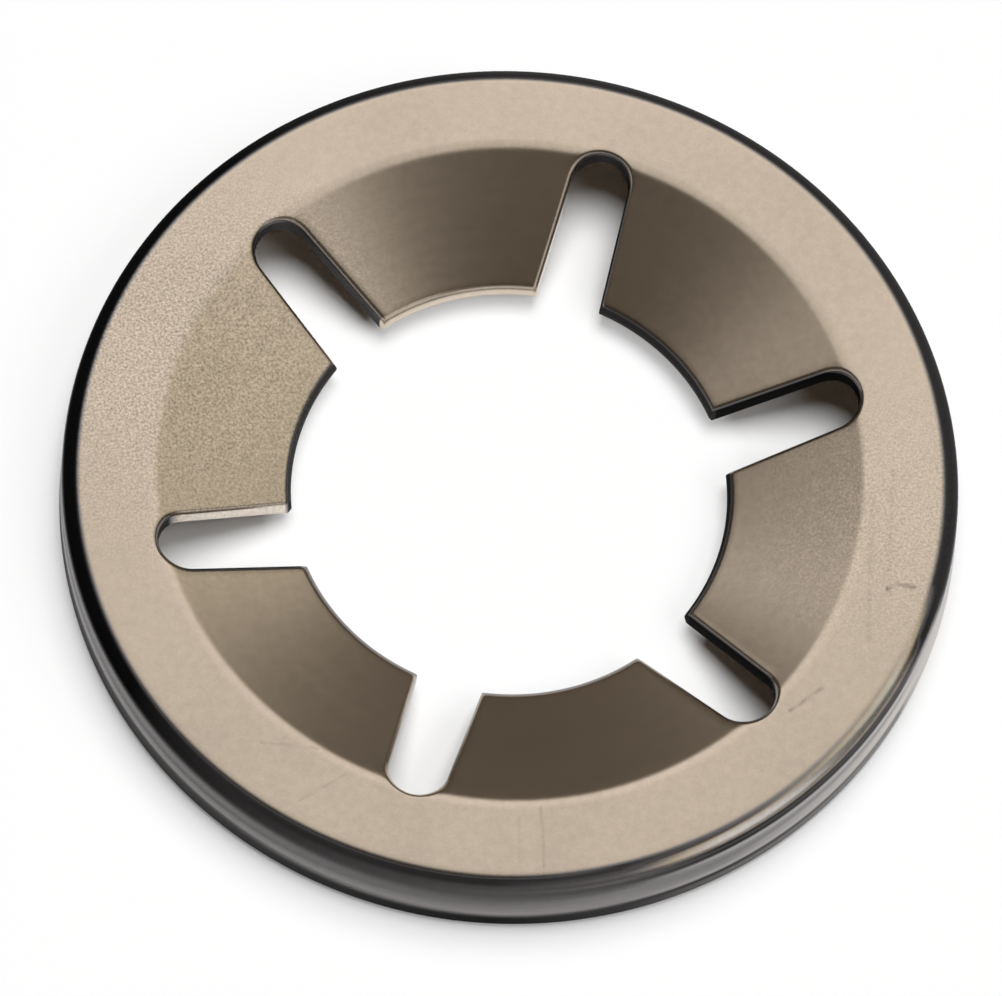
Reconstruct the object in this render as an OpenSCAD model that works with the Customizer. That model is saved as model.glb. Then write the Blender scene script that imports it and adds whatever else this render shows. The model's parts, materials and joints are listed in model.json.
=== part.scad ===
// Push-on retaining washer, stamped from one piece of spring-steel strip.
// A flat ring carries a turned-down flange round its outside and a ring of sprung prongs round its inside.
// The prongs slope down towards the shaft and bite into it, so the washer slides on but does not come off.
// Millimetres. The origin lies on the axis at the level of the flange's foot, with +Z up through the ring.

/* [Shaft and grip] */
// Diameter of the plain shaft that the washer is pushed onto
shaft_d = 10; // [6:0.5:16]
// How much smaller the circle of the prong tips is than the shaft
grip = 0.14; // [0.04:0.02:0.4]

/* [Sheet] */
// Thickness of the strip
sheet_t = 0.45; // [0.3:0.05:0.7]

/* [Prongs] */
// Number of prongs, and of the slots that part them
prong_count = 6; // [4:1:9]
// Reach of a prong in plan, from its tip to the line where it leaves the ring
prong_len = 3.08; // [2:0.02:5]
// Slope of the prongs below the ring
prong_angle = 23; // [10:1:35]
// Radius on the inside of the prongs' bend
prong_bend_inside_r = 0.3; // [0.05:0.05:0.6]
// Height of the land on the prong tips that is sized to the shaft
tip_land = 0.14; // [0.06:0.02:0.2]

/* [Slots] */
// Width of a slot across its round end
slot_w = 1.33; // [0.8:0.05:2]
// Angle at which each side of a slot opens towards the shaft, from bending the prongs down
slot_splay = 1.9; // [0:0.1:4]
// How far a slot's round end runs past the bend line into the ring
slot_overrun = 0.07; // [0:0.01:0.5]

/* [Rim] */
// Width of the rim, from the prongs' bend line to the outside of the flange's shoulder
rim_w = 2.05; // [1.6:0.05:4]
// Radius on the inside of the rim's bend
rim_bend_inside_r = 0.05; // [0.02:0.01:0.3]
// Angle at which the flange leans outwards on its way down
flange_flare = 4; // [0:0.5:10]
// Height of the prongs' lowest edge above the flange's foot
tip_clearance = 0.3; // [0.05:0.01:1]

/* [Edges] */
// Rolled-over upper edge that the piercing punch leaves on the prong tips
tip_roll_r = 0.28; // [0.1:0.02:0.4]
// Rolled-over outer edge that the blanking punch leaves on the flange's foot
foot_roll_r = 0.2; // [0.1:0.02:0.3]

/* [Hidden] */
$fn = 96;

steel_tan = [0.72, 0.66, 0.58];

// Largest share of the sheet that a rolled edge may take, and of a rolled edge that the land may take
tip_roll_share = 0.65;
foot_roll_share = 0.5;
land_share = 0.9;
tip_roll = min(tip_roll_r, tip_roll_share * sheet_t);
foot_roll = min(foot_roll_r, foot_roll_share * sheet_t);
land = min(tip_land, land_share * tip_roll);

// Both bends turn the sheet down, so their outside is its upper face
prong_bend_r = prong_bend_inside_r + sheet_t;
rim_bend_r = rim_bend_inside_r + sheet_t;

// Plan radii, from the shaft outwards
tip_r = (shaft_d - grip) / 2;
bend_line_r = tip_r + prong_len;
shoulder_r = bend_line_r + rim_w;
prong_bend_x = bend_line_r + prong_bend_r * tan(prong_angle / 2);
rim_bend_x = shoulder_r - rim_bend_r * cos(flange_flare);

// Centre of the tips' rolled edge, so placed that the shaft hole leaves the land on it
tip_roll_x = tip_r + sqrt(pow(tip_roll, 2) - pow(land / 2, 2));
tip_roll_y = prong_bend_r - tip_roll;

// Length of the straight prong, which is sheared square to its own slope
prong_reach = prong_bend_x - tip_roll_x - tip_roll_y * sin(prong_angle);
prong_strip_len = prong_reach / cos(prong_angle) + tip_roll;

// Heights: the prongs reach down to tip_clearance, and the flange goes down to zero
prong_drop = prong_bend_r + prong_strip_len * sin(prong_angle) - prong_bend_inside_r * cos(prong_angle);
top_z = tip_clearance + prong_drop;
prong_bend_z = top_z - prong_bend_r;
rim_bend_z = top_z - rim_bend_r;

// Turn of the rim's bend, and length of the straight flange below it, whose inner corner stands on zero
rim_turn = 90 - flange_flare;
flange_len = (rim_bend_z + rim_bend_inside_r * sin(flange_flare)) / cos(flange_flare);

// Slot's round end
slot_end_x = bend_line_r + slot_overrun - slot_w / 2;
slot_axis_w = slot_w + 2 * slot_end_x * tan(slot_splay);

// Spare length by which cutting shapes run past the sheet
spare = 1;
plane_size = 2 * shoulder_r;

// Half of the section plane, to one side of the local Y axis
module half_plane(side) {
    translate([side * plane_size / 2, 0])
        square([plane_size, 2 * plane_size], center = true);
}

// Bent sheet about the local origin, from the upright at x = 0 through turn degrees (positive turns towards the axis)
module bend(turn, inside_r) {
    intersection() {
        difference() {
            circle(inside_r + sheet_t);
            circle(inside_r);
        }
        half_plane(-sign(turn));
        rotate(turn)
            half_plane(sign(turn));
    }
}

// Straight sheet from a bend about the local origin along +X, with the outer corner of its end rolled over
module strip(inside_r, length, roll) {
    translate([0, inside_r])
        square([length - roll, sheet_t]);
    translate([length - roll, inside_r])
        square([roll, sheet_t - roll]);
    translate([length - roll, inside_r + sheet_t - roll])
        circle(roll);
}

// Flat ring between the two bends
module ring_section() {
    translate([prong_bend_x, top_z - sheet_t])
        square([rim_bend_x - prong_bend_x, sheet_t]);
}

// Rim's bend and the flange below it
module flange_section() {
    translate([rim_bend_x, rim_bend_z]) {
        bend(-rim_turn, rim_bend_inside_r);
        rotate(-rim_turn)
            strip(rim_bend_inside_r, flange_len, foot_roll);
    }
}

// Prongs' bend and the sloping prong inside it, trimmed by the shaft hole
module prong_section() {
    difference() {
        translate([prong_bend_x, prong_bend_z]) {
            bend(prong_angle, prong_bend_inside_r);
            rotate(prong_angle)
                mirror([1, 0])
                    strip(prong_bend_inside_r, prong_strip_len, tip_roll);
        }
        translate([-plane_size + tip_r, -plane_size])
            square([plane_size, 2 * plane_size]);
    }
}

// Section of the whole washer from the tips to the foot, as if it had no slots
module sheet_section() {
    ring_section();
    flange_section();
    prong_section();
}

// Plan of one slot along +X, open at the shaft hole
module slot_plan() {
    translate([slot_end_x, 0])
        circle(d = slot_w);
    polygon([
        [0, -slot_axis_w / 2],
        [slot_end_x, -slot_w / 2],
        [slot_end_x, slot_w / 2],
        [0, slot_axis_w / 2],
    ]);
}

module slots() {
    for (i = [0 : prong_count - 1])
        rotate(i * 360 / prong_count)
            translate([0, 0, -spare])
                linear_extrude(top_z + 2 * spare)
                    slot_plan();
}

module retaining_washer() {
    color(steel_tan)
        difference() {
            rotate_extrude()
                sheet_section();
            slots();
        }
}

retaining_washer();
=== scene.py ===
"""Push-on retaining washer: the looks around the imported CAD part.

The washer's sheet is built again here as one fine mesh, with the rolled edges that the piercing
punch leaves along the slots. It stands for the CAD node, lies in the same frame and keeps its sizes.
Sizes are in millimetres until they go into a mesh, a lamp or the camera.
"""

import json
import math

import bmesh
import bpy
import numpy as np
from mathutils import Matrix, Vector


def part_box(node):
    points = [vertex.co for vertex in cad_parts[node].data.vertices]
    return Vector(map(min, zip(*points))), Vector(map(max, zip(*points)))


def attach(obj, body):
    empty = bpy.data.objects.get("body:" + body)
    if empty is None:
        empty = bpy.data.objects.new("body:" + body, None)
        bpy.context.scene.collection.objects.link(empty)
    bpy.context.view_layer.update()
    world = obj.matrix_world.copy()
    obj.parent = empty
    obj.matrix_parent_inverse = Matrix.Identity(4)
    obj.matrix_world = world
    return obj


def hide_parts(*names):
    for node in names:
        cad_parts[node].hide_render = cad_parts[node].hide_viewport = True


MM = 0.001
NODE = "retaining_washer"

# Sheet, as in the CAD part
SHEET_T = 0.45
PRONG_COUNT = 6
PRONG_LEN = 3.08
PRONG_ANGLE = math.radians(23)
PRONG_BEND_INSIDE_R = 0.3
SLOT_W = 1.33
SLOT_SPLAY = math.radians(1.9)
SLOT_OVERRUN = 0.07
RIM_W = 2.05
RIM_BEND_INSIDE_R = 0.05
FLANGE_FLARE = math.radians(4)
TIP_ROLL_R = 0.28
FOOT_ROLL_R = 0.2

# Rolled-over upper edge along the slots, finer than the CAD part goes
SLOT_ROLL_R = 0.13

# How finely the mesh follows the sheet: rows from the tips out over the top, round the foot and back
# below, then columns across a prong
TIP_ROWS = 10
PRONG_ROWS = 22
SLOT_END_ROWS = 22
RING_ROWS = 6
RIM_BEND_ROWS = 32
FLANGE_ROWS = 24
FOOT_ROWS = 8
FLANGE_INSIDE_ROWS = 5
RIM_BEND_INSIDE_ROWS = 6
RING_BELOW_ROWS = 4
SLOT_ROLL_COLUMNS = 6
PRONG_COLUMNS = 40
# How far before the slot's round end the rows along its straight sides stop
SIDE_ROWS_SHORT = 0.03
# Rounds that bring a point on a slot's side to its radius
SIDE_ROUNDS = 8
# Points nearer than this are one point, and faces that turn further than this meet in a sharp edge
WELD_DISTANCE = 0.00001
SHARP_TURN = math.radians(40)

# Painted shading of the steel: 1 is the plain rolled face, lower is painted shade, darker and greyer, and
# above 1 is a painted highlight, near-white at 2.
# Prongs and slots count anticlockwise from the slot on +X.
# Each prong has the painted shading of its first wall, its last wall and its tip: painted shade where they
# would mirror shadowed paper, painted highlight where lit paper.
# A wall below 0 carries its painted shade further over its rolled edge.
PRONG_PAINTED_SHADING = (
    (-0.5, -0.8, 0.11),
    (1.4, 0.15, 1.1),
    (0.4, 1.3, 0.12),
    (-6.0, 0.6, 0.4),
    (0.4, 0.2, 0.4),
    (-0.3, 0.1, 0.08),
)
DARKEST_PAINTED_SHADING = 0.07
# Radii between which a tip's painted shading gives way to the prong's
TIP_PAINTED_SHADING_FROM = 5.0
TIP_PAINTED_SHADING_TO = 5.09
# Painted shade of the slots' round ends, and the radii between which the walls' painted shading gives way
# to theirs
END_PAINTED_SHADING = (0.07, 0.13, 0.15, 0.1, 0.85, 0.09)
END_PAINTED_SHADING_FROM = 7.4
END_PAINTED_SHADING_TO = 7.75

# Painted shade and painted reflection round the rim: over the bend by radius, then down the flange by
# height
PAINTED_PLAIN_BEND = (
    (9.66, 1.0),
    (9.72, 0.55),
    (9.76, 0.14),
    (9.80, 0.1),
    (10.0, 0.1),
    (10.03, 0.14),
    (10.06, 0.23),
)
PAINTED_LEFT_BEND = (
    (9.66, 1.0),
    (9.72, 0.55),
    (9.76, 0.1),
    (9.80, 0.06),
    (10.0, 0.06),
    (10.03, 0.14),
    (10.06, 0.3),
)
PAINTED_PLAIN_FLANGE = (
    (0.30, 0.12),
    (0.50, 0.13),
    (0.64, 0.14),
    (0.76, 0.2),
    (0.86, 0.36),
    (1.06, 0.32),
    (1.22, 0.22),
    (1.42, 0.28),
    (1.56, 0.26),
)
PAINTED_FRONT_BEND = ((9.65, 1.0), (9.71, 0.55), (9.76, 0.1), (9.87, 0.1), (9.95, 0.22), (10.06, 0.2))
PAINTED_FRONT_FLANGE = (
    (0.34, 0.08),
    (0.50, 0.08),
    (0.58, 0.16),
    (0.66, 0.32),
    (0.74, 0.42),
    (1.0, 0.34),
    (1.3, 0.26),
    (1.56, 0.19),
)
PAINTED_TURN_BEND = (
    (9.61, 1.0),
    (9.66, 0.45),
    (9.70, 0.1),
    (9.79, 0.13),
    (9.85, 0.28),
    (9.99, 0.26),
    (10.02, 0.18),
    (10.06, 0.2),
)
PAINTED_TURN_FLANGE = (
    (0.34, 0.12),
    (0.58, 0.12),
    (0.65, 0.18),
    (0.74, 0.36),
    (0.85, 0.38),
    (1.36, 0.3),
    (1.56, 0.2),
)
# Lower-right stretch: a painted light band of reflection on the bend between painted dark lines of shade
PAINTED_SHEEN_BEND = (
    (9.62, 1.0),
    (9.68, 0.4),
    (9.73, 0.2),
    (9.76, 0.4),
    (9.80, 1.2),
    (9.93, 1.8),
    (9.97, 0.1),
    (9.99, 0.08),
    (10.01, 0.2),
    (10.045, 0.06),
    (10.06, 0.4),
)
PAINTED_SHEEN_FLANGE = (
    (0.28, 0.22),
    (0.40, 0.27),
    (0.48, 0.22),
    (0.58, 0.08),
    (0.64, 0.14),
    (0.70, 0.45),
    (0.78, 0.6),
    (0.88, 0.36),
    (1.20, 0.28),
    (1.42, 0.34),
    (1.54, 0.5),
)
# Painted highlight on the bend where the light band turns towards the right, up to 2
PAINTED_RIGHT_BEND = (
    (9.60, 1.0),
    (9.70, 0.85),
    (9.78, 1.6),
    (9.89, 2.0),
    (9.94, 0.6),
    (9.97, 0.22),
    (10.04, 0.16),
    (10.06, 0.55),
)
PAINTED_RIGHT_FLANGE = (
    (0.30, 0.3),
    (0.60, 0.25),
    (0.80, 0.85),
    (1.06, 0.8),
    (1.22, 0.4),
    (1.38, 0.32),
    (1.54, 0.6),
)
PAINTED_TAPER_BEND = ((9.60, 1.0), (9.78, 1.1), (9.84, 0.3), (9.90, 0.08), (9.99, 0.1), (10.03, 0.5))
PAINTED_TAPER_FLANGE = ((0.30, 0.75), (1.06, 0.6), (1.56, 0.5))
# Where each of them is in full round the rim, in degrees
PAINTED_RIM_STRETCHES = (
    (-30, PAINTED_PLAIN_BEND, PAINTED_TAPER_FLANGE),
    (-15, PAINTED_PLAIN_BEND, PAINTED_PLAIN_FLANGE),
    (76, PAINTED_PLAIN_BEND, PAINTED_PLAIN_FLANGE),
    (118, PAINTED_LEFT_BEND, PAINTED_PLAIN_FLANGE),
    (198, PAINTED_LEFT_BEND, PAINTED_PLAIN_FLANGE),
    (216, PAINTED_PLAIN_BEND, PAINTED_PLAIN_FLANGE),
    (254, PAINTED_FRONT_BEND, PAINTED_FRONT_FLANGE),
    (270, PAINTED_TURN_BEND, PAINTED_TURN_FLANGE),
    (284, PAINTED_SHEEN_BEND, PAINTED_SHEEN_FLANGE),
    (315, PAINTED_RIGHT_BEND, PAINTED_RIGHT_FLANGE),
    (322, PAINTED_TAPER_BEND, PAINTED_TAPER_FLANGE),
    (330, PAINTED_PLAIN_BEND, PAINTED_TAPER_FLANGE),
)
# How much nearer the ring the bend's painted dark band of shade starts, by degrees, and the radii over
# which that fades
PAINTED_BAND_SHIFTS = ((0, 0.04), (71, 0.05), (161, 0.05), (206, 0.0), (320, 0.0), (340, 0.03))
PAINTED_BAND_SHIFT_FROM = 9.75
PAINTED_BAND_SHIFT_TO = 9.95

# Steel's colour, by its painted shading as a share of the brightest; the top stop is a painted near-white
# highlight
BRIGHTEST_PAINTED_SHADING = 2.0
STEEL_TAN = (0.62, 0.515, 0.405)
PAINTED_SHADING_COLOURS = (
    (0.0, (0.0005, 0.0005, 0.0005)),
    (0.03, (0.003, 0.003, 0.003)),
    (0.1, (0.09, 0.085, 0.084)),
    (0.25, (0.27, 0.252, 0.246)),
    (0.5, STEEL_TAN),
    (1.0, (0.92, 0.91, 0.89)),
)
# Painted shading between which the steel goes from a dull dark non-metal, which keeps the painted shade
# black, to bare metal
METAL_FROM = 0.05
METAL_TO = 0.4
STEEL_ROUGHNESS = 0.26

# Patterns on the steel, with scales in repeats to the millimetre, and how far each changes the tone
GRAIN = {"scale": 17.0, "roughness": 0.6}
FLECK = {"scale": 5.0, "detail": 1.0}
CLOUD = {"scale": 0.35}
STREAK = {"scale": 1.0, "stretch": (0.25, 0.25, 9), "detail": 3.0}
GRAIN_DEPTH = 1.9
FLECK_DEPTH = 0.16
CLOUD_DEPTH = 0.16
STREAK_DEPTH = 0.12
NOISE_MIDDLE = 0.5
BUMP_DEPTH = 0.002
# Patches of stronger grain: middle, strength, and the radii between which it fades
GRAIN_PATCHES = (
    ((-6.3, 4.2), 1.0, 2.0, 5.5),
    ((8.3, -3.2), 0.55, 1.2, 4.0),
)
GRAIN_ELSEWHERE = 0.08

# Scratches and a dent on the ring's face: start, end, width and how much they darken
SCRATCHES = (
    # The first two marks stand for a small dent; their darkness is painted shade
    ((7.41, -4.81), (7.64, -4.75), 0.14, 0.55),
    ((7.64, -4.75), (7.98, -4.92), 0.12, 0.4),
    ((4.53, -7.10), (5.36, -6.75), 0.12, 0.3),
    ((-1.35, -7.98), (-1.68, -9.66), 0.10, 0.13),
    ((-1.88, -8.14), (-2.13, -9.22), 0.12, 0.08),
    ((-6.93, -5.13), (-5.77, -5.55), 0.10, 0.12),
    ((-6.43, -6.63), (-5.34, -6.29), 0.10, 0.12),
    ((7.66, -2.67), (6.65, -5.88), 0.16, 0.1),
    ((8.29, -2.07), (7.56, -4.38), 0.14, 0.1),
)
# Shares of its width between which a scratch fades to its sides
SCRATCH_CORE = 0.1
SCRATCH_SIDE = 0.6
# How far scratches wander from straight
WANDER = {"scale": 2.2}
WANDER_REACH = 0.12
# Where scratches are broken: the noise between its weakest and its full mark, and the weakest mark
BREAK = {"scale": 3.5}
BREAK_FROM = 0.38
BREAK_TO = 0.58
WEAKEST_MARK = 0.25

# Paper below the washer, and the share of a painted white glow that lifts its shadow for the camera and in
# the steel, by radius
FLOOR_R = 600.0
FLOOR_SEGMENTS = 96
PAPER_WHITE = 0.93
PAPER_ROUGHNESS = 0.9
HOLE_GLOW = 0.42
HOLE_GLOW_FROM = 5.0
HOLE_GLOW_TO = 5.6
RIM_GLOW = 0.5
RIM_GLOW_FROM = 9.9
RIM_GLOW_TO = 10.4

# Height of the light panels, and the dim room with the share of its light that the paper gets
PANEL_HEIGHT = 500.0
ROOM_COLOUR = (0.065, 0.05, 0.036)
ROOM_SHARE = 0.3

# The photograph's view: where the ring's centre lies from the lens axis, and how the washer is turned
PHOTO_W_PX = 1002
FOCAL_PX = 5816.0
SENSOR_W = 36.0
CAMERA_CLIP = 1.0
CAMERA_DISTANCE = 130.0
CENTRE_RIGHT = 0.237
CENTRE_UP = 0.729
VIEW_ELEVATION = math.radians(67.12)
VIEW_ROLL = math.radians(4.9)
SLOT_PHASE = math.radians(18.6)

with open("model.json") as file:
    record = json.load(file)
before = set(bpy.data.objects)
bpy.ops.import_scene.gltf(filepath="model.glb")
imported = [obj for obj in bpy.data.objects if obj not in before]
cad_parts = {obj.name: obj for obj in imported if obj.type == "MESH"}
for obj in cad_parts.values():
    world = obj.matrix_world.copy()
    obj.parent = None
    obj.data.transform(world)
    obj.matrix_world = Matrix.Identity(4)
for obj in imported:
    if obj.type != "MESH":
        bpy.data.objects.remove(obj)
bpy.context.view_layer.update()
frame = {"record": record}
mounts = {mount["name"]: mount for mount in frame["record"]["mounts"]}

# Radii and heights worked out from the frame and the sheet's sizes
TIP_R = mounts["shaft_grip"]["dims"]["r_mm"]
TOP_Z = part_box(NODE)[1].z / MM
TIP_LAND = mounts["shaft_grip"]["dims"]["length_mm"]
PRONG_BEND_R = PRONG_BEND_INSIDE_R + SHEET_T
PRONG_BEND_Z = TOP_Z - PRONG_BEND_R
RIM_BEND_R = RIM_BEND_INSIDE_R + SHEET_T
RIM_BEND_Z = TOP_Z - RIM_BEND_R
BEND_LINE_R = TIP_R + PRONG_LEN
SHOULDER_R = BEND_LINE_R + RIM_W
PRONG_BEND_X = BEND_LINE_R + PRONG_BEND_R * math.tan(PRONG_ANGLE / 2)
RIM_BEND_X = SHOULDER_R - RIM_BEND_R * math.cos(FLANGE_FLARE)
FLANGE_LEN = (RIM_BEND_Z + RIM_BEND_INSIDE_R * math.sin(FLANGE_FLARE)) / math.cos(FLANGE_FLARE)
TIP_ROLL_X = TIP_R + math.sqrt(TIP_ROLL_R**2 - (TIP_LAND / 2) ** 2)
TIP_ROLL_Z = (
    TOP_Z
    - (BEND_LINE_R - TIP_ROLL_X) * math.tan(PRONG_ANGLE)
    - TIP_ROLL_R / math.cos(PRONG_ANGLE)
)
TIP_FACE_LEN = SHEET_T - TIP_ROLL_R
TIP_FACE_X = TIP_ROLL_X - TIP_ROLL_R * math.cos(PRONG_ANGLE)
TIP_FOOT_X = TIP_FACE_X + TIP_FACE_LEN * math.sin(PRONG_ANGLE)
SLOT_END_X = BEND_LINE_R + SLOT_OVERRUN - SLOT_W / 2
SECTOR = 2 * math.pi / PRONG_COUNT


# View


def view_axes():
    """The washer's X, Y and Z axes in the camera's own axes (right, up, towards the lens), as columns."""
    z = Vector(
        (
            math.cos(VIEW_ELEVATION) * math.sin(VIEW_ROLL),
            math.cos(VIEW_ELEVATION) * math.cos(VIEW_ROLL),
            math.sin(VIEW_ELEVATION),
        )
    )
    level = Vector((math.cos(VIEW_ROLL), -math.sin(VIEW_ROLL), 0))
    deep = z.cross(level)
    x = math.cos(SLOT_PHASE) * level + math.sin(SLOT_PHASE) * deep
    y = -math.sin(SLOT_PHASE) * level + math.cos(SLOT_PHASE) * deep
    return Matrix((x, y, z)).transposed()


def add_camera():
    """The camera that sees the washer as the photograph does."""
    turn = view_axes().transposed()
    centre_in_view = Vector((CENTRE_RIGHT, CENTRE_UP, -CAMERA_DISTANCE))
    place = Vector((0, 0, TOP_Z)) - turn @ centre_in_view
    data = bpy.data.cameras.new("photo_camera")
    data.sensor_width = SENSOR_W
    data.lens = FOCAL_PX / PHOTO_W_PX * SENSOR_W
    data.clip_start = CAMERA_CLIP * MM
    camera = bpy.data.objects.new("photo_camera", data)
    camera.matrix_world = Matrix.Translation(place * MM) @ turn.to_4x4()
    bpy.context.scene.collection.objects.link(camera)
    bpy.context.scene.camera = camera


def stage_axes():
    """Level directions to the right and to the back, as the photograph sees them."""
    right = view_axes().transposed() @ Vector((1, 0, 0))
    right.z = 0
    right.normalize()
    return right, Vector((0, 0, 1)).cross(right)


# The sheet's form


def steps(start, end, count):
    """Values from start to end in count even steps, without start itself."""
    return np.linspace(start, end, count + 1)[1:]


def arc(x, z, radius, angles):
    """Section points on a circle, by their angles from straight out towards straight up."""
    return [(x + radius * math.cos(angle), z + radius * math.sin(angle)) for angle in angles]


def upper_z(r):
    """Height of the sheet's upper face over plan radius r, from the prong tips to the flat ring."""
    if r < TIP_ROLL_X - TIP_ROLL_R * math.sin(PRONG_ANGLE):
        return TIP_ROLL_Z + math.sqrt(TIP_ROLL_R**2 - (TIP_ROLL_X - r) ** 2)
    if r < PRONG_BEND_X - PRONG_BEND_R * math.sin(PRONG_ANGLE):
        return TOP_Z - (BEND_LINE_R - r) * math.tan(PRONG_ANGLE)
    if r < PRONG_BEND_X:
        return PRONG_BEND_Z + math.sqrt(PRONG_BEND_R**2 - (PRONG_BEND_X - r) ** 2)
    return TOP_Z


def lower_z(r):
    """Height of the sheet's lower side over plan radius r: tip's face, prong, bend and ring."""
    if r < TIP_FACE_X:
        return TIP_ROLL_Z - math.sqrt(TIP_ROLL_R**2 - (TIP_ROLL_X - r) ** 2)
    if r < TIP_FOOT_X:
        face_top = TIP_ROLL_Z - TIP_ROLL_R * math.sin(PRONG_ANGLE)
        return face_top - (r - TIP_FACE_X) / math.tan(PRONG_ANGLE)
    if r < PRONG_BEND_X - PRONG_BEND_INSIDE_R * math.sin(PRONG_ANGLE):
        prong_top = TOP_Z - (BEND_LINE_R - r) * math.tan(PRONG_ANGLE)
        return prong_top - SHEET_T / math.cos(PRONG_ANGLE)
    if r < PRONG_BEND_X:
        return PRONG_BEND_Z + math.sqrt(PRONG_BEND_INSIDE_R**2 - (PRONG_BEND_X - r) ** 2)
    return TOP_Z - SHEET_T


def edge_z(r, drop):
    """Height of the upper face over radius r where a rolled edge drops it, less where the tip is thin."""
    top = upper_z(r)
    return top - drop * min(1, (top - lower_z(r)) / SHEET_T)


def side_point(r, off):
    """Plan point at radius r, off millimetres outside the straight side of the slot along +X."""
    slope = math.tan(SLOT_SPLAY)
    x = r
    for _ in range(SIDE_ROUNDS):
        y = SLOT_W / 2 + (SLOT_END_X - x) * slope + off / math.cos(SLOT_SPLAY)
        x = math.sqrt(r**2 - y**2)
    return x, y


def end_point(turn, off):
    """Plan point at angle turn on a circle off millimetres outside a slot's round end."""
    reach = SLOT_W / 2 + off
    return SLOT_END_X + reach * math.cos(turn), reach * math.sin(turn)


def slot_rows():
    """Rows from the tips to the slot's end, as functions from an offset to a plan point."""
    land_angle = math.asin(TIP_LAND / 2 / TIP_ROLL_R)
    tip_angles = np.linspace(land_angle, math.pi / 2 - PRONG_ANGLE, TIP_ROWS + 1)
    radii = [TIP_ROLL_X - TIP_ROLL_R * math.cos(angle) for angle in tip_angles]
    radii += list(steps(radii[-1], SLOT_END_X - SIDE_ROWS_SHORT, PRONG_ROWS))
    radii = sorted(radii + [TIP_FACE_X, TIP_FOOT_X])
    turns = np.linspace(math.pi / 2, 0, SLOT_END_ROWS + 1)
    rows = [lambda off, r=r: side_point(r, off) for r in radii]
    rows += [lambda off, turn=turn: end_point(turn, off) for turn in turns]
    return rows


def row_points(row):
    """One row across a prong, from wall to wall with its rolled edges: (radius, angle, drop)."""
    edge = []
    for lean in np.linspace(math.pi / 2, 0, SLOT_ROLL_COLUMNS + 1):
        x, y = row(SLOT_ROLL_R * (1 - math.sin(lean)))
        drop = SLOT_ROLL_R * (1 - math.cos(lean))
        edge.append((math.hypot(x, y), math.atan2(y, x), drop))
    r, first, _ = edge[-1]
    across = np.linspace(first, SECTOR - first, PRONG_COLUMNS + 1)
    inner = [(r, angle, 0) for angle in across[1:-1]]
    return edge + inner + [(r, SECTOR - angle, drop) for r, angle, drop in reversed(edge)]


def rim_section(start_r):
    """Section of the rim: from the upper face at start_r out over the shoulder, round the foot and back."""
    bend = Vector((RIM_BEND_X, RIM_BEND_Z))
    down = Vector((math.sin(FLANGE_FLARE), -math.cos(FLANGE_FLARE)))
    out = Vector((math.cos(FLANGE_FLARE), math.sin(FLANGE_FLARE)))
    foot_roll = bend + down * (FLANGE_LEN - FOOT_ROLL_R) + out * (RIM_BEND_R - FOOT_ROLL_R)
    over = steps(math.pi / 2, FLANGE_FLARE, RIM_BEND_ROWS)
    round_foot = steps(FLANGE_FLARE, FLANGE_FLARE - math.pi / 2, FOOT_ROWS)
    back = steps(FLANGE_FLARE, math.pi / 2, RIM_BEND_INSIDE_ROWS)

    points = [(r, TOP_Z) for r in np.linspace(start_r, RIM_BEND_X, RING_ROWS + 1)]
    points += arc(RIM_BEND_X, RIM_BEND_Z, RIM_BEND_R, over)
    for length in steps(0, FLANGE_LEN - FOOT_ROLL_R, FLANGE_ROWS):
        points.append(tuple(bend + down * length + out * RIM_BEND_R))
    points += arc(*foot_roll, FOOT_ROLL_R, round_foot)
    for length in np.linspace(FLANGE_LEN, 0, FLANGE_INSIDE_ROWS + 1):
        points.append(tuple(bend + down * length + out * RIM_BEND_INSIDE_R))
    points += arc(RIM_BEND_X, RIM_BEND_Z, RIM_BEND_INSIDE_R, back)
    points += [(r, TOP_Z - SHEET_T) for r in steps(RIM_BEND_X, start_r, RING_BELOW_ROWS)]
    return points


# Painted light and shade on the sheet


def at_stop(stops, place, period=None):
    """Value between named stops, each a place and a value."""
    places, values = zip(*stops)
    return float(np.interp(place, places, values, period=period))


def painted_edge_shading(prong, column, last_column, r):
    """Painted shade and painted highlight on the slotted part: its walls, the outermost columns of their
    rolled edges, and the tips.
    """
    first_wall, last_wall, tip = PRONG_PAINTED_SHADING[prong]
    if column < last_column / 2:
        wall, slot, inwards = first_wall, prong, column
    else:
        wall, slot, inwards = last_wall, (prong + 1) % PRONG_COUNT, last_column - column
    wall = at_stop(((END_PAINTED_SHADING_FROM, wall), (END_PAINTED_SHADING_TO, END_PAINTED_SHADING[slot])), r)
    share = min(1, inwards / SLOT_ROLL_COLUMNS)
    painted_shading = max(DARKEST_PAINTED_SHADING, wall + (1 - wall) * share**2 * (3 - 2 * share))
    if r < TIP_PAINTED_SHADING_TO:
        share = (r - TIP_PAINTED_SHADING_FROM) / (TIP_PAINTED_SHADING_TO - TIP_PAINTED_SHADING_FROM)
        painted_shading = min(tip + (1 - tip) * max(0, share), max(painted_shading, tip))
    return painted_shading


def painted_rim_shading(r, z, angle):
    """Painted shade and painted reflection on the rim's outside, between the stretches on both sides of the
    angle.
    """
    degrees = math.degrees(angle) % 360
    if degrees > PAINTED_RIM_STRETCHES[-1][0]:
        degrees -= 360
    shift = at_stop(PAINTED_BAND_SHIFTS, degrees, 360)
    shift *= at_stop(((PAINTED_BAND_SHIFT_FROM, 1), (PAINTED_BAND_SHIFT_TO, 0)), r)
    painted_rim_shadings = [
        (at, at_stop(bend, r + shift) if z > RIM_BEND_Z else at_stop(flange, z))
        for at, bend, flange in PAINTED_RIM_STRETCHES
    ]
    return at_stop(painted_rim_shadings, degrees)


# The washer


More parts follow.
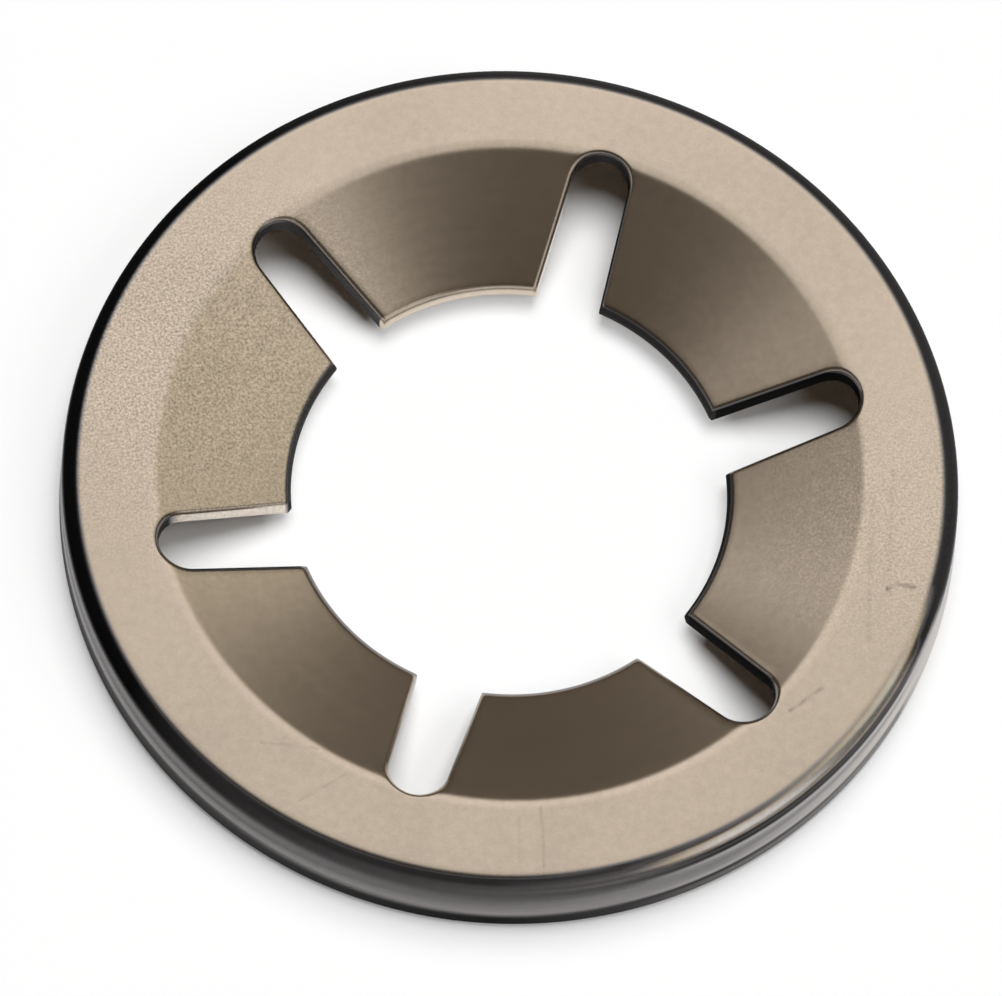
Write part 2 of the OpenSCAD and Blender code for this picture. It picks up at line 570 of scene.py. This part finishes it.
def add_washer():
    """The whole sheet as one closed mesh, a sector for each prong, in place of the CAD node."""
    sheet = bmesh.new()
    # Each point carries painted shading: painted shade below 1, painted highlight above 1
    painted_shading_layer = sheet.verts.layers.float.new("painted_shading")

    def vert(r, angle, z, painted_shading):
        point = sheet.verts.new((r * math.cos(angle) * MM, r * math.sin(angle) * MM, z * MM))
        point[painted_shading_layer] = painted_shading
        return point

    def quads(near, far):
        for i in range(len(near) - 1):
            sheet.faces.new((near[i], near[i + 1], far[i + 1], far[i]))

    rows = [row_points(row) for row in slot_rows()]
    last = len(rows[0]) - 1
    ring_columns = rows[-1][SLOT_ROLL_COLUMNS : len(rows[-1]) - SLOT_ROLL_COLUMNS]
    section = rim_section(ring_columns[0][0])
    outside = RING_ROWS + 1 + RIM_BEND_ROWS + FLANGE_ROWS + FOOT_ROWS
    for prong in range(PRONG_COUNT):
        turn = prong * SECTOR
        # Walls, rolled edges and tips carry painted shade and painted highlight
        upper = [
            [
                vert(r, angle + turn, edge_z(r, drop), painted_edge_shading(prong, column, last, r))
                for column, (r, angle, drop) in enumerate(row)
            ]
            for row in rows
        ]
        lower = [
            [
                vert(r, angle + turn, lower_z(r), painted_edge_shading(prong, column, last, r))
                for column, (r, angle, _) in enumerate(row)
            ]
            for row in rows
        ]
        for k in range(len(rows) - 1):
            quads(upper[k + 1], upper[k])
            quads(lower[k], lower[k + 1])
        quads(upper[0], lower[0])
        quads([row[0] for row in lower], [row[0] for row in upper])
        quads([row[-1] for row in upper], [row[-1] for row in lower])
        # The rim's outside carries painted shade and painted reflection; its inside stays plain
        rim = [
            [
                vert(r, angle + turn, z, painted_rim_shading(r, z, angle + turn) if k < outside else 1)
                for _, angle, _ in ring_columns
            ]
            for k, (r, z) in enumerate(section)
        ]
        for k in range(len(rim) - 1):
            quads(rim[k + 1], rim[k])
    bmesh.ops.remove_doubles(sheet, verts=sheet.verts, dist=WELD_DISTANCE * MM)
    bmesh.ops.recalc_face_normals(sheet, faces=sheet.faces)
    mesh = bpy.data.meshes.new("washer_sheet")
    sheet.to_mesh(mesh)
    sheet.free()
    mesh.shade_smooth()
    mesh.set_sharp_from_angle(angle=SHARP_TURN)
    mesh.materials.append(steel_material())
    washer = bpy.data.objects.new("washer_sheet", mesh)
    bpy.context.scene.collection.objects.link(washer)
    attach(washer, "root")
    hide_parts(NODE)


# Materials


def add_node(tree, kind, settings=None, inputs=None):
    """A node with its settings and its inputs, each a value or another node's output."""
    node = tree.nodes.new(kind)
    for name, value in (settings or {}).items():
        setattr(node, name, value)
    for socket, value in (inputs or {}).items():
        if isinstance(value, bpy.types.NodeSocket):
            tree.links.new(value, node.inputs[socket])
        else:
            node.inputs[socket].default_value = value
    return node


def calculate(tree, operation, first, second, clamp=False):
    """Output of a sum on two numbers."""
    settings = {"operation": operation, "use_clamp": clamp}
    return add_node(tree, "ShaderNodeMath", settings, {0: first, 1: second}).outputs[0]


def vector_math(tree, operation, first, second=(0, 0, 0), scale=1.0):
    """Output of a sum on vectors: a number for a distance, a length or a dot product."""
    inputs = {0: first, 1: second, 3: scale}
    node = add_node(tree, "ShaderNodeVectorMath", {"operation": operation}, inputs)
    measures = operation in ("DISTANCE", "LENGTH", "DOT_PRODUCT")
    return node.outputs["Value" if measures else "Vector"]


def remap(tree, value, low, high, to_low, to_high):
    """Output that goes from to_low to to_high while the value goes from low to high."""
    inputs = {0: value, 1: low, 2: high, 3: to_low, 4: to_high}
    return add_node(tree, "ShaderNodeMapRange", None, inputs).outputs[0]


def noise(tree, place, scale, stretch=(1, 1, 1), detail=2.0, roughness=0.5):
    """Noise over the washer in millimetres, drawn out along an axis where stretch is small."""
    moved = vector_math(tree, "MULTIPLY", place, tuple(share / MM for share in stretch))
    inputs = {"Vector": moved, "Scale": scale, "Detail": detail, "Roughness": roughness}
    return add_node(tree, "ShaderNodeTexNoise", None, inputs).outputs[0]


def colour_by_painted_shading(tree, painted_shading):
    """Steel's colour by its painted shading."""
    ramp = tree.nodes.new("ShaderNodeValToRGB")
    stops = ramp.color_ramp.elements
    while len(stops) < len(PAINTED_SHADING_COLOURS):
        stops.new(0.5)
    for stop, (position, colour) in zip(stops, PAINTED_SHADING_COLOURS):
        stop.position = position
        stop.color = (*colour, 1)
    share = calculate(tree, "MULTIPLY", painted_shading, 1 / BRIGHTEST_PAINTED_SHADING, clamp=True)
    tree.links.new(share, ramp.inputs["Fac"])
    return ramp.outputs["Color"]


def grain_strength(tree, place):
    """How strong the grain is: strongest in its patches, weak elsewhere."""
    strength = GRAIN_ELSEWHERE
    for middle, most, near, far in GRAIN_PATCHES:
        away = vector_math(tree, "DISTANCE", place, Vector((*middle, TOP_Z)) * MM)
        patch = remap(tree, away, near * MM, far * MM, most, GRAIN_ELSEWHERE)
        strength = calculate(tree, "MAXIMUM", patch, strength)
    return strength


def mottled(tree, patterns):
    """Tone about 1 that each pattern changes by its depth."""
    tone = 1.0
    for pattern, depth in patterns:
        change = calculate(tree, "SUBTRACT", pattern, NOISE_MIDDLE)
        tone = calculate(tree, "ADD", calculate(tree, "MULTIPLY", change, depth), tone)
    return tone


def scratch_mask(tree, place, start, end, width):
    """1 along the middle of a straight scratch on the ring's face, falling to 0 at its sides."""
    begin = Vector((*start, TOP_Z)) * MM
    along = Vector((*end, TOP_Z)) * MM - begin
    length = along.length
    direction = along / length
    away = vector_math(tree, "SUBTRACT", place, begin)
    reach = vector_math(tree, "DOT_PRODUCT", away, direction)
    reach = calculate(tree, "MINIMUM", calculate(tree, "MAXIMUM", reach, 0.0), length)
    foot = vector_math(tree, "SCALE", direction, scale=reach)
    gap = vector_math(tree, "DISTANCE", away, foot)
    return remap(tree, gap, SCRATCH_CORE * width * MM, SCRATCH_SIDE * width * MM, 1.0, 0.0)


def scratched(tree, place, tone):
    """The tone with wavy, broken scratches in it."""
    sway = calculate(tree, "SUBTRACT", noise(tree, place, **WANDER), NOISE_MIDDLE)
    wavy = vector_math(tree, "ADD", place, calculate(tree, "MULTIPLY", sway, WANDER_REACH * MM))
    broken = remap(tree, noise(tree, place, **BREAK), BREAK_FROM, BREAK_TO, WEAKEST_MARK, 1.0)
    for start, end, width, depth in SCRATCHES:
        mark = calculate(tree, "MULTIPLY", scratch_mask(tree, wavy, start, end, width), broken)
        tone = calculate(tree, "SUBTRACT", tone, calculate(tree, "MULTIPLY", mark, depth))
    return tone


def steel_material():
    """Satin steel in the painted light and shade that the mesh carries, with grain, flecks and scratches.
    """
    material = bpy.data.materials.new("spring_steel")
    material.use_nodes = True
    tree = material.node_tree
    place = tree.nodes.new("ShaderNodeTexCoord").outputs["Object"]
    painted_shading = add_node(tree, "ShaderNodeAttribute", {"attribute_name": "painted_shading"}).outputs["Fac"]

    strength = grain_strength(tree, place)
    grain = noise(tree, place, **GRAIN)
    patterns = (
        (grain, calculate(tree, "MULTIPLY", strength, GRAIN_DEPTH)),
        (noise(tree, place, **FLECK), FLECK_DEPTH),
        (noise(tree, place, **CLOUD), CLOUD_DEPTH),
        (noise(tree, place, **STREAK), STREAK_DEPTH),
    )
    tone = scratched(tree, place, mottled(tree, patterns))
    colour = vector_math(tree, "SCALE", colour_by_painted_shading(tree, painted_shading), scale=tone)
    relief = {"Height": calculate(tree, "MULTIPLY", grain, strength), "Distance": BUMP_DEPTH * MM}
    bump = add_node(tree, "ShaderNodeBump", None, relief)

    shader = tree.nodes["Principled BSDF"]
    shader.inputs["Specular IOR Level"].default_value = 0
    shader.inputs["Roughness"].default_value = STEEL_ROUGHNESS
    tree.links.new(colour, shader.inputs["Base Color"])
    tree.links.new(remap(tree, painted_shading, METAL_FROM, METAL_TO, 0.0, 1.0), shader.inputs["Metallic"])
    tree.links.new(bump.outputs["Normal"], shader.inputs["Normal"])
    return material


def floor_material():
    """White paper that keeps the washer's shadow in full in the slots; in the hole and past the rim a
    painted white glow lifts part of it.
    """
    material = bpy.data.materials.new("white_paper")
    material.use_nodes = True
    tree = material.node_tree
    shader = tree.nodes["Principled BSDF"]
    shader.inputs["Base Color"].default_value = (PAPER_WHITE, PAPER_WHITE, PAPER_WHITE, 1)
    shader.inputs["Roughness"].default_value = PAPER_ROUGHNESS
    shader.inputs["Specular IOR Level"].default_value = 0
    away = vector_math(tree, "LENGTH", tree.nodes.new("ShaderNodeTexCoord").outputs["Object"])
    # Painted white glow that lifts the shadow near the tips and outside the rim
    in_hole = remap(tree, away, HOLE_GLOW_FROM * MM, HOLE_GLOW_TO * MM, HOLE_GLOW, 0.0)
    past_rim = remap(tree, away, RIM_GLOW_FROM * MM, RIM_GLOW_TO * MM, 0.0, RIM_GLOW)
    glow = calculate(tree, "MAXIMUM", in_hole, past_rim)
    ray = tree.nodes.new("ShaderNodeLightPath").outputs
    seen = calculate(tree, "MAXIMUM", ray["Is Camera Ray"], ray["Is Glossy Ray"])
    white = tree.nodes.new("ShaderNodeEmission")
    shares = {
        0: calculate(tree, "MULTIPLY", glow, seen),
        1: shader.outputs["BSDF"],
        2: white.outputs["Emission"],
    }
    mix = add_node(tree, "ShaderNodeMixShader", None, shares)
    tree.links.new(mix.outputs["Shader"], tree.nodes["Material Output"].inputs["Surface"])
    return material


def softbox_material(name, colour, axis, slopes, strengths):
    """Light whose strength changes along an axis of the stage, from the first slope to the second."""
    material = bpy.data.materials.new(name)
    material.use_nodes = True
    tree = material.node_tree
    tree.nodes.clear()
    place = tree.nodes.new("ShaderNodeTexCoord").outputs["Object"]
    along = vector_math(tree, "DOT_PRODUCT", place, axis)
    near, far = (slope * PANEL_HEIGHT * MM for slope in slopes)
    light = {"Color": (*colour, 1), "Strength": remap(tree, along, near, far, *strengths)}
    emission = add_node(tree, "ShaderNodeEmission", None, light)
    output = tree.nodes.new("ShaderNodeOutputMaterial")
    tree.links.new(emission.outputs["Emission"], output.inputs["Surface"])
    return material


# Stage


def add_floor():
    """The sheet of paper that the washer lies on."""
    disc = bmesh.new()
    bmesh.ops.create_circle(disc, cap_ends=True, segments=FLOOR_SEGMENTS, radius=FLOOR_R * MM)
    mesh = bpy.data.meshes.new("floor")
    disc.to_mesh(mesh)
    disc.free()
    mesh.materials.append(floor_material())
    floor = bpy.data.objects.new("floor", mesh)
    bpy.context.scene.collection.objects.link(floor)


def add_softbox(name, corners, strengths, slopes=(0, 1), colour=(1, 1, 1), sideways=False):
    """A level light panel over the washer, which the steel mirrors.

    Corners are slopes to the right and to the back: 1 is 45 degrees from overhead.
    The strengths are those at the two slopes to the back, or to the right where the panel is sideways.
    """
    right, back = stage_axes()
    mesh = bpy.data.meshes.new(name)
    up = Vector((0, 0, 1))
    points = [(right * x + back * y + up) * PANEL_HEIGHT * MM for x, y in corners]
    mesh.from_pydata(points, [], [range(len(points))])
    axis = right if sideways else back
    mesh.materials.append(softbox_material(name, colour, axis, slopes, strengths))
    panel = bpy.data.objects.new(name, mesh)
    panel.visible_camera = False
    panel.visible_diffuse = False
    panel.visible_shadow = False
    bpy.context.scene.collection.objects.link(panel)


def add_paper_light(name, azimuth, elevation, softness, level):
    """A lamp that the steel doesn't mirror, from azimuth degrees to the right of straight back.

    Level 1 makes white paper white.
    """
    right, back = stage_axes()
    around = math.radians(azimuth)
    height = math.radians(elevation)
    level_way = right * math.sin(around) + back * math.cos(around)
    towards = level_way * math.cos(height) + Vector((0, 0, math.sin(height)))
    data = bpy.data.lights.new(name, "SUN")
    data.angle = math.radians(softness)
    data.energy = level * math.pi / math.sin(height)
    lamp = bpy.data.objects.new(name, data)
    lamp.rotation_euler = towards.to_track_quat("Z", "Y").to_euler()
    lamp.visible_glossy = False
    bpy.context.scene.collection.objects.link(lamp)


def set_world():
    """The dim room: the steel mirrors it in full, and the paper gets a share of its light."""
    world = bpy.data.worlds.new("room")
    world.use_nodes = True
    tree = world.node_tree
    background = tree.nodes["Background"]
    background.inputs["Color"].default_value = (*ROOM_COLOUR, 1)
    diffuse_ray = tree.nodes.new("ShaderNodeLightPath").outputs["Is Diffuse Ray"]
    strength = remap(tree, diffuse_ray, 0.0, 1.0, 1.0, ROOM_SHARE)
    tree.links.new(strength, background.inputs["Strength"])
    bpy.context.scene.world = world


add_camera()
add_washer()
add_floor()
add_softbox(
    "overhead_softbox",
    corners=((-0.71, 0.03), (0.62, -0.32), (0.62, 1.38), (-0.95, 1.19)),
    slopes=(0.2, 0.8),
    strengths=(0.8, 1.1),
)
add_softbox(
    "right_softbox",
    corners=((0.62, -0.4), (2.2, -0.4), (2.2, 1.4), (0.62, 1.4)),
    slopes=(0.62, 1.1),
    strengths=(0.8, 0.62),
    colour=(1, 0.98, 0.88),
    sideways=True,
)
add_softbox(
    "front_softbox",
    corners=((0.79, -0.42), (4.4, -2.35), (2.5, -4.35), (0.45, -0.78)),
    strengths=(0.75, 0.75),
)
add_softbox(
    "left_softbox",
    corners=((-2.0, 0.5), (-1.8, -2.0), (-5.0, -5.5), (-7.0, 0.8)),
    strengths=(0.8, 0.8),
)
add_softbox(
    "low_softbox",
    corners=((-1.45, -1.6), (1.1, -1.5), (2.4, -6.5), (-4.6, -5.6)),
    strengths=(0.7, 0.7),
)
add_paper_light("paper_key", azimuth=24, elevation=76, softness=38, level=0.88)
add_paper_light("paper_side", azimuth=115, elevation=50, softness=30, level=0.17)
set_world()

bpy.context.scene.view_settings.view_transform = "Standard"
